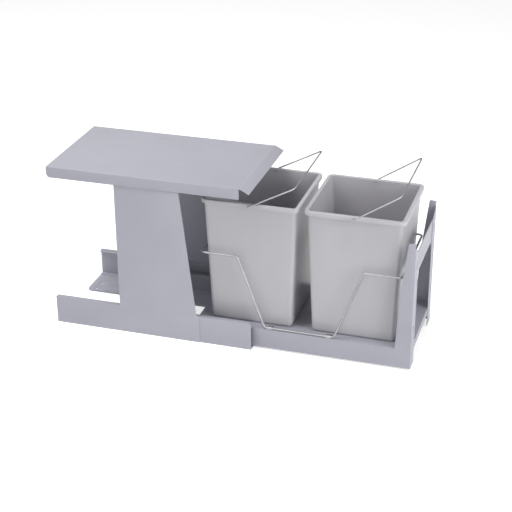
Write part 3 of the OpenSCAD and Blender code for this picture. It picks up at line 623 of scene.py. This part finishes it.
# Crossbar. A flat bar of 1.2 mm steel ties the brackets behind their flanges, with a curved corner under each
# end. It is welded on and coated with the tray.
bar_low, bar_high = box_mm("front_crossbar")
BAR_X, BAR_Y, BAR_FOOT = bar_high[0], bar_low[1], bar_low[2]
BAR_T, BAR_CORNER = 1.2, 14.0
bar_line = [(-BAR_X, BAR_FOOT), (-FLANGE_X, BAR_FOOT)]
bar_line += arc(-FLANGE_X + BAR_CORNER, BAR_FOOT, BAR_CORNER, 180, 90)[1:]
bar_line += arc(FLANGE_X - BAR_CORNER, BAR_FOOT, BAR_CORNER, 90, 0)
bar_line += [(BAR_X, BAR_FOOT), (BAR_X, BAR_TOP), (-BAR_X, BAR_TOP)]
bar_face = [(px, BAR_Y, pz) for px, pz in bar_line]
bar = bent_sheet("crossbar_sheet", [(bar_face, (0, -1, 0))], [], BAR_T, 0, silver_coat,
                 slot_cutters() + slot_cutters(-1))
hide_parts("front_crossbar")
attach(bar, "tray")

# Guard wire. One loop of 4.5 mm steel wire goes round both bins, high at the back and the front and low
# between them, and keeps them upright. It is bent on a machine, butt welded, and plated in a satin silver.
# Its edge tint is set near black, which paints shade along the wire's edges where it turns from view.
GUARD_R, GUARD_BEND, GUARD_HIGH, GUARD_LOW, WIRE_SIDES = 2.25, 8.0, 210.0, 50.35, 20
satin_wire = zinc_plate("satin_wire", tone=(0.4, 0.4, 0.415), rough=0.42, metal=0.9)
# The plating's edge tint is near black: it paints shade along the edges of the wire, the clips and the bails.
satin_wire.node_tree.nodes["Principled BSDF"].inputs["Specular Tint"].default_value = (0.05, 0.05, 0.05, 1.0)


def rounded_loop(corners, r, steps=8):
    """A closed path through the corners, in millimetres, with each corner rounded."""
    done = []
    for k, corner in enumerate(corners):
        a, b, c = Vector(corners[k - 1]), Vector(corner), Vector(corners[(k + 1) % len(corners)])
        to_a, to_c = (a - b).normalized(), (c - b).normalized()
        half = to_a.angle(to_c) / 2
        centre = b + (to_a + to_c).normalized() * (r / math.sin(half))
        start = b + to_a * (r / math.tan(half)) - centre
        end = b + to_c * (r / math.tan(half)) - centre
        sweep = start.angle(end)
        for i in range(steps + 1):
            near, far = math.sin((1 - i / steps) * sweep), math.sin(i / steps * sweep)
            done.append(centre + (start * near + end * far) / math.sin(sweep))
    return done


def wire_tree():
    """Geometry Nodes that draw a round wire along a path, with flat closed ends."""
    tree, given, solid = new_tree("wire_along_path", (("Path", "Geometry"), ("Radius", "Float"),
                                                      ("Sides", "Int"), ("Finish", "Material")))
    n, link = tree.nodes, tree.links
    ring = n.new("GeometryNodeCurvePrimitiveCircle")
    sweep = n.new("GeometryNodeCurveToMesh")
    sweep.inputs["Fill Caps"].default_value = True
    link.new(given.outputs["Radius"], ring.inputs["Radius"])
    link.new(given.outputs["Sides"], ring.inputs["Resolution"])
    link.new(given.outputs["Path"], sweep.inputs["Curve"])
    link.new(ring.outputs["Curve"], sweep.inputs["Profile Curve"])
    link.new(sweep.outputs["Mesh"], solid.inputs["Geometry"])
    return tree


wires = wire_tree()


def bent_wire(name, path, r, closed, material):
    """A round wire along a path in millimetres. A closed one is welded to a loop."""
    curve = bpy.data.curves.new(name, "CURVE")
    curve.dimensions = "3D"
    curve.twist_mode = "MINIMUM"
    line = curve.splines.new("POLY")
    line.points.add(len(path) - 1)
    for spot, p in zip(line.points, path):
        spot.co = (*(p * MM), 1.0)
    line.use_cyclic_u = closed
    obj = new_object(name, curve)
    modifier = obj.modifiers.new("wire", "NODES")
    modifier.node_group = wires
    set_input(modifier, "Radius", r * MM)
    set_input(modifier, "Sides", WIRE_SIDES)
    set_input(modifier, "Finish", material)
    obj = keep_mesh(obj, material)
    bm = bmesh.new()
    bm.from_mesh(obj.data)
    bmesh.ops.remove_doubles(bm, verts=bm.verts, dist=0.001 * MM)
    bmesh.ops.recalc_face_normals(bm, faces=bm.faces)
    bm.to_mesh(obj.data)
    bm.free()
    smooth_faces(obj, degrees=50)
    return obj


guard_side = [(-541, GUARD_HIGH), (-461, GUARD_HIGH), (-402, GUARD_LOW)]
guard_side += [(-250, GUARD_LOW), (-191, GUARD_HIGH), (-113, GUARD_HIGH)]
guard_corners = [(WIRE_X, y, z) for y, z in guard_side] + [(-WIRE_X, y, z) for y, z in guard_side[::-1]]
guard = bent_wire("guard_loop", rounded_loop(guard_corners, GUARD_BEND), GUARD_R, True, satin_wire)
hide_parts("guard_wire")
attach(guard, "tray")

# Wire clips. Short straps of plated steel are pressed over the wire's low runs, and a screw through each tab
# holds it on the tray. The screws have a low round head with a cross recess.
CLIP_R, CLIP_IN_R, CLIP_T, CLIP_TAB_X, CLIP_HALF_W, CLIP_TURN_R = 3.55, 2.35, 1.2, 14.0, 5.5, 0.9
SCREW_R, SCREW_L, SCREW_TURNS = 1.5, 2.4, (30, 70)
SCREW_HEAD = [(3.0, 0), (3.0, 0.4), (2.7, 1.0), (1.9, 1.4), (0, 1.5)]
RECESS_L, RECESS_W, RECESS_H, RECESS_MID = 2.9, 0.6, 1.6, 2.6


def clip_mesh():
    """A strap from its edge: the screw tab, the fillet and the hoop over the wire."""
    fillet_x, hoop_z = -CLIP_R - CLIP_TURN_R, CLIP_IN_R
    line = [(-CLIP_TAB_X, 0), (-CLIP_TAB_X, CLIP_T), (fillet_x, CLIP_T)]
    line += arc(fillet_x, CLIP_T + CLIP_TURN_R, CLIP_TURN_R, -90, 0, steps=4)[1:]
    line += arc(0, hoop_z, CLIP_R, 180, 0, steps=14) + [(CLIP_R, 0), (CLIP_IN_R, 0)]
    line += arc(0, hoop_z, CLIP_IN_R, 0, 180, steps=14) + [(-CLIP_IN_R, 0)]
    return pushed_out("clip", line, -CLIP_HALF_W, CLIP_HALF_W)


clip_places = [((s * WIRE_X, y, TRAY_TOP), (0, 0, 0 if s > 0 else 180)) for s in (-1, 1) for y in CLIP_YS]
clips = set_out("clip_straps", clip_mesh(), clip_places, satin_wire)
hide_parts("wire_clips")
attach(clips, "tray")


def screw_mesh():
    """One screw, with a cross recess cut in its head."""
    shank = [(0, -SCREW_L), (SCREW_R, -SCREW_L), (SCREW_R, CLIP_T)]
    obj = new_object("screw_blank", turned("screw", shank + [(r, CLIP_T + z) for r, z in SCREW_HEAD]))
    size = Matrix.Diagonal((RECESS_L * MM, RECESS_W * MM, RECESS_H * MM, 1.0))
    for angle in (0, 90):
        bm = bmesh.new()
        bmesh.ops.create_cube(bm, size=1.0)
        place = Matrix.Translation((0, 0, RECESS_MID * MM)) @ Matrix.Rotation(math.radians(angle), 4, "Z")
        bmesh.ops.transform(bm, matrix=place @ size, verts=bm.verts)
        tool = cut_with(obj, [new_mesh("recess", bm)])
        obj = keep_mesh(obj, strip_zinc)
        bpy.data.objects.remove(tool)
    done = obj.data
    bpy.data.objects.remove(obj)
    return done


screw_places = [((s * CLIP_SCREW_X, y, TRAY_TOP), (0, 0, turn))
                for s in (-1, 1) for y, turn in zip(CLIP_YS, SCREW_TURNS)]
screws = set_out("clip_screw_row", screw_mesh(), screw_places, strip_zinc)
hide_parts("clip_screws")
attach(screws, "tray")

# Bins. Each is a tapered tub moulded in one shot of light grey plastic, with thin walls, round corners and a
# rim turned out and down. All of it has a fine spark grain, with faint flow marks up the walls.
bin_low, bin_high = box_mm("bin_rear")
RIM_W, BIN_H = bin_high[0] - bin_low[0], bin_high[2] - bin_low[2]
RIM_OUT, RIM_T, RIM_H, TAPER, WALL, CORNER, STEP_H, STEP_IN = 6.0, 1.6, 9.0, 10.0, 2.0, 8.0, 4.0, 4.0
BASE_ROUND, RIM_ROUND, MOUTH_ROUND, RIM_FILLET, EASE = 1.5, 2.0, 1.2, 0.6, 0.4
RIM_ROOT_H, RIM_ROOT_W = 1.0, 0.8
BIN_YS = {place: sum(corner[1] for corner in box_mm("bin_" + place)) / 2 for place in ("rear", "front")}
PIVOT_Z, BORE_IN_X, BORE_OUT_X, BORE_R = 277.5, 95.0, 107.0, 1.58


def moulded_plastic(name, tone, rough):
    """Moulded polypropylene: a fine spark grain, faint flow marks up the walls, and a soft sheen."""
    m, shader, where = new_material(name)
    shader.inputs["IOR"].default_value = 1.49
    shader.inputs["Subsurface Weight"].default_value = 0.06
    shader.inputs["Subsurface Radius"].default_value = (0.004, 0.004, 0.004)
    grain = noise(m, where, scale=1300.0, detail=2.0)
    flow = noise(m, stretched(m, where, (14.0, 14.0, 2.5)), scale=1.0, detail=5.0)
    tone_by(m, flow, span=(0.3, 0.7), tone=tone, shares=(0.96, 1.03))
    gloss_by(m, grain, span=(0.0, 1.0), rough=rough, less=0.04, more=0.08)
    relief_by(m, grain, strength=0.15, distance=0.0002)
    return m


bin_plastic = moulded_plastic("bin_plastic", tone=(0.51, 0.502, 0.53), rough=0.34)


def wall_half(z):
    """Half the width over the walls at a height."""
    return RIM_W / 2 - RIM_OUT - TAPER * (BIN_H - z) / BIN_H


def bin_rings():
    """(half width, corner radius, height) of each ring, from the underside, up the outside, over the rim, and
    down the inside to the floor."""
    step, step_corner, base = wall_half(0) - STEP_IN, CORNER - STEP_IN, wall_half(STEP_H)
    under, low, edge, top = BIN_H - RIM_T, BIN_H - RIM_H, RIM_W / 2, wall_half(BIN_H)
    skirt, inner = edge - RIM_T, base - WALL
    thirds = (BIN_H / 3, 2 * BIN_H / 3)
    rings = [(step - EASE, step_corner, 0), (step, step_corner, EASE), (step, step_corner, STEP_H)]
    for px, pz in arc(base - BASE_ROUND, STEP_H + BASE_ROUND, BASE_ROUND, -90, 0, steps=4):
        rings.append((px, CORNER - base + px, pz))
    rings += [(wall_half(z), CORNER, z) for z in thirds]
    rim = [(wall_half(under - RIM_ROOT_H), under - RIM_ROOT_H), (wall_half(under) + RIM_ROOT_W, under),
           (skirt - RIM_FILLET, under), (skirt, under - RIM_FILLET),
           (skirt, low + EASE), (skirt + EASE, low), (edge - EASE, low), (edge, low + EASE)]
    rim += arc(edge - RIM_ROUND, BIN_H - RIM_ROUND, RIM_ROUND, 0, 90, steps=6)
    rim += arc(top - WALL + MOUTH_ROUND, BIN_H - MOUTH_ROUND, MOUTH_ROUND, 90, 180, steps=4)
    rings += [(half, CORNER + half - top, z) for half, z in rim]
    rings += [(wall_half(z) - WALL, CORNER - WALL, z) for z in thirds[::-1]]
    for px, pz in arc(inner - BASE_ROUND, STEP_H + WALL + BASE_ROUND, BASE_ROUND, 0, -90, steps=4):
        rings.append((px, CORNER - WALL - inner + px, pz))
    rings += [(step - WALL, step_corner - WALL, z) for z in (STEP_H + WALL, WALL)]
    return rings


def bin_mesh(name, middle_y, steps=10):
    """A closed skin through the rings, each a square with round corners."""
    bm = bmesh.new()
    rings = []
    for half, corner, z in bin_rings():
        flat, points = half - corner, []
        for quarter, (sx, sy) in enumerate(((1, 1), (-1, 1), (-1, -1), (1, -1))):
            points += arc(sx * flat, sy * flat, corner, 90 * quarter, 90 * quarter + 90, steps)
        height = (TRAY_TOP + z) * MM
        rings.append([bm.verts.new((px * MM, (middle_y + py) * MM, height)) for px, py in points])
    for low, high in zip(rings, rings[1:]):
        for k in range(len(low)):
            j = (k + 1) % len(low)
            bm.faces.new([low[k], low[j], high[j], high[k]])
    bm.faces.new(rings[0][::-1])
    bm.faces.new(rings[-1])
    bmesh.ops.recalc_face_normals(bm, faces=bm.faces)
    return new_mesh(name, bm)


for place, middle_y in BIN_YS.items():
    tub = new_object("tub_" + place, bin_mesh("tub_" + place, middle_y))
    height = TRAY_TOP + PIVOT_Z
    bores = [drill((s * BORE_IN_X, middle_y, height), (s * BORE_OUT_X, middle_y, height), BORE_R, sides=20)
             for s in (-1, 1)]
    tool = cut_with(tub, bores)
    tub = keep_mesh(tub, bin_plastic)
    bpy.data.objects.remove(tool)
    smooth_faces(tub, degrees=40)
    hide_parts("bin_" + place)
    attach(tub, "tray")

# Bails. Each is 3 mm wire bent to a wide loop that goes round the outside of the rim. Its ends turn in
# through the rim and the bin's wall and show inside it. They are plated as the guard wire is.
BAIL_R, BAIL_L, ARM_X, PIN_END, PIN_BEND, BOW_BEND = 1.5, 113.0, 110.0, 95.34, 2.0, 10.0
BAIL_TILTS = {"rear": 28.0, "front": 33.0}
for place, angle in BAIL_TILTS.items():
    tilt = math.radians(angle)
    middle_y, height = BIN_YS[place], TRAY_TOP + PIVOT_Z
    flat_path = [(PIN_END, 0)] + arc(ARM_X - PIN_BEND, PIN_BEND, PIN_BEND, -90, 0, steps=6)
    flat_path += arc(ARM_X - BOW_BEND, BAIL_L - BOW_BEND, BOW_BEND, 0, 90, steps=10)
    half_path = [Vector((px, middle_y - reach * math.cos(tilt), height + reach * math.sin(tilt)))
                 for px, reach in flat_path]
    path = half_path + [Vector((-p.x, p.y, p.z)) for p in half_path[::-1]]
    bail = bent_wire("bail_wire_" + place, path, BAIL_R, False, satin_wire)
    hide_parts("bail_" + place)
    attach(bail, "bail_" + place)

# Studio. A plain white floor under soft light: a lamp above the back, one before the front, weak ones
# low in front, at the near side and behind, and an even white surround.
FLOOR_HALF, FLOOR_GLOW, SURROUND, MIDDLE = 9.0, 0.6, 0.26, (0, -0.15, 0.15)


def background_rays(tree):
    """1 for rays that show the background, also in gloss or glass, and 0 for those that light."""
    rays = tree.nodes.new("ShaderNodeLightPath")
    seen = rays.outputs["Is Camera Ray"]
    for kind in ("Is Glossy Ray", "Is Transmission Ray"):
        either = tree.nodes.new("ShaderNodeMath")
        either.operation = "MAXIMUM"
        tree.links.new(seen, either.inputs[0])
        tree.links.new(rays.outputs[kind], either.inputs[1])
        seen = either.outputs[0]
    return seen


floor_mesh = bpy.data.meshes.new("floor")
floor_corners = [(sx * FLOOR_HALF, sy * FLOOR_HALF, 0) for sx, sy in ((-1, -1), (1, -1), (1, 1), (-1, 1))]
floor_mesh.from_pydata(floor_corners, [], [(0, 1, 2, 3)])
floor = new_object("floor", floor_mesh)
floor_white = bpy.data.materials.new("floor_white")
floor_white.use_nodes = True
n, link = floor_white.node_tree.nodes, floor_white.node_tree.links
paper = n["Principled BSDF"]
paper.inputs["Base Color"].default_value = (0.86, 0.86, 0.86, 1.0)
paper.inputs["Roughness"].default_value = 0.9
paper.inputs["Specular IOR Level"].default_value = 0.1
lift = n.new("ShaderNodeMath")
lift.operation = "MULTIPLY"
lift.inputs[1].default_value = FLOOR_GLOW
link.new(background_rays(floor_white.node_tree), lift.inputs[0])
glow = n.new("ShaderNodeEmission")
link.new(lift.outputs[0], glow.inputs["Strength"])
add = n.new("ShaderNodeAddShader")
link.new(paper.outputs[0], add.inputs[0])
link.new(glow.outputs[0], add.inputs[1])
link.new(add.outputs[0], n["Material Output"].inputs["Surface"])
floor_mesh.materials.append(floor_white)
floor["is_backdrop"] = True

world = bpy.data.worlds.new("surround")
bpy.context.scene.world = world
world.use_nodes = True
n, link = world.node_tree.nodes, world.node_tree.links
soft = n["Background"]
soft.inputs["Color"].default_value = (1.0, 1.0, 1.0, 1.0)
level = n.new("ShaderNodeMapRange")
level.inputs["To Min"].default_value = SURROUND
level.inputs["To Max"].default_value = 1.0
link.new(background_rays(world.node_tree), level.inputs["Value"])
link.new(level.outputs["Result"], soft.inputs["Strength"])


def lamp(name, place, size, power):
    """A square soft lamp that looks at the middle of the unit."""
    data = bpy.data.lights.new(name, "AREA")
    data.size = size
    data.energy = power
    obj = new_object(name, data)
    obj.location = place
    obj.rotation_mode = "QUATERNION"
    obj.rotation_quaternion = (Vector(MIDDLE) - Vector(place)).to_track_quat("-Z", "Y")


lamp("over", place=(-0.5, 0.9, 2.4), size=1.2, power=39.0)
lamp("front", place=(-0.9, -2.6, 1.5), size=1.4, power=29.0)
lamp("low_front", place=(-0.9, -2.6, 0.5), size=1.0, power=14.0)
lamp("low_side", place=(-2.6, -0.3, 0.4), size=0.8, power=7.6)
lamp("back", place=(-1.4, 2.2, 1.6), size=1.4, power=5.5)

# Camera. It stands to the left of the unit, a little ahead of the tray that is run out, and looks down on it
# with a long lens. Its place, its turns and its lens were fitted to the photograph's straight edges.
eye = Vector((-2.4288, -0.9550, 1.4025))
yaw, pitch, roll = math.radians(17.3), math.radians(26.0), math.radians(-0.3)
level_right = Vector((math.sin(yaw), -math.cos(yaw), 0.0))
level_ahead = Vector((math.cos(yaw), math.sin(yaw), 0.0))
ahead = level_ahead * math.cos(pitch) + Vector((0, 0, -math.sin(pitch)))
above = level_ahead * math.sin(pitch) + Vector((0, 0, math.cos(pitch)))
right_hand = level_right * math.cos(roll) + above * math.sin(roll)
overhead = above * math.cos(roll) - level_right * math.sin(roll)
camera_data = bpy.data.cameras.new("camera")
camera_data.sensor_width = 36.0
camera_data.lens = 91.58
camera_data.clip_end = 40.0
camera = new_object("camera", camera_data)
turn = Matrix((right_hand, overhead, -ahead)).transposed().to_4x4()
camera.matrix_world = Matrix.Translation(eye) @ turn
bpy.context.scene.camera = camera

bpy.context.scene.view_settings.view_transform = "Standard"
low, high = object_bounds()
